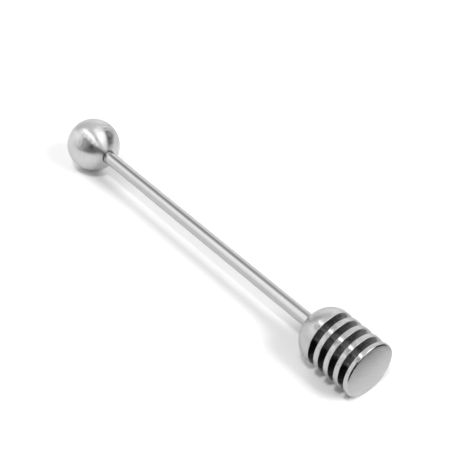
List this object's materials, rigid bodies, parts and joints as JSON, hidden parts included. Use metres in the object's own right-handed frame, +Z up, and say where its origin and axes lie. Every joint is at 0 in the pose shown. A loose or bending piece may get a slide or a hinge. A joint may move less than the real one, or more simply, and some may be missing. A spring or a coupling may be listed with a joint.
{
  "type": "honey spoon",
  "caption": "Stainless honey spoon with a satin ball knob, a slim round rod and a domed head whose discs hold honey in the grooves between them.",
  "frame": {"origin": "centre of the bounding box on the surface that the spoon lies on", "axes": "+Y along the spoon from the head to the ball knob, +Z up from the surface, +X across"},
  "size_m": [0.02, 0.16, 0.02],
  "materials": {
    "satin_steel": "satin, brushed round the axis",
    "polished_steel": "polished along the rod",
    "turned_steel": "fine turned, satin",
    "core_steel": "turned, dull"
  },
  "bodies": {
    "root": {"ball_knob": "satin_steel", "handle_rod": "polished_steel", "dome_cap": "satin_steel", "ring_disc_1": "turned_steel", "ring_disc_2": "turned_steel", "ring_disc_3": "turned_steel", "end_disc": "turned_steel", "groove_spacer_1": "core_steel", "groove_spacer_2": "core_steel", "groove_spacer_3": "core_steel", "groove_spacer_4": "core_steel"}
  },
  "joints": []
}
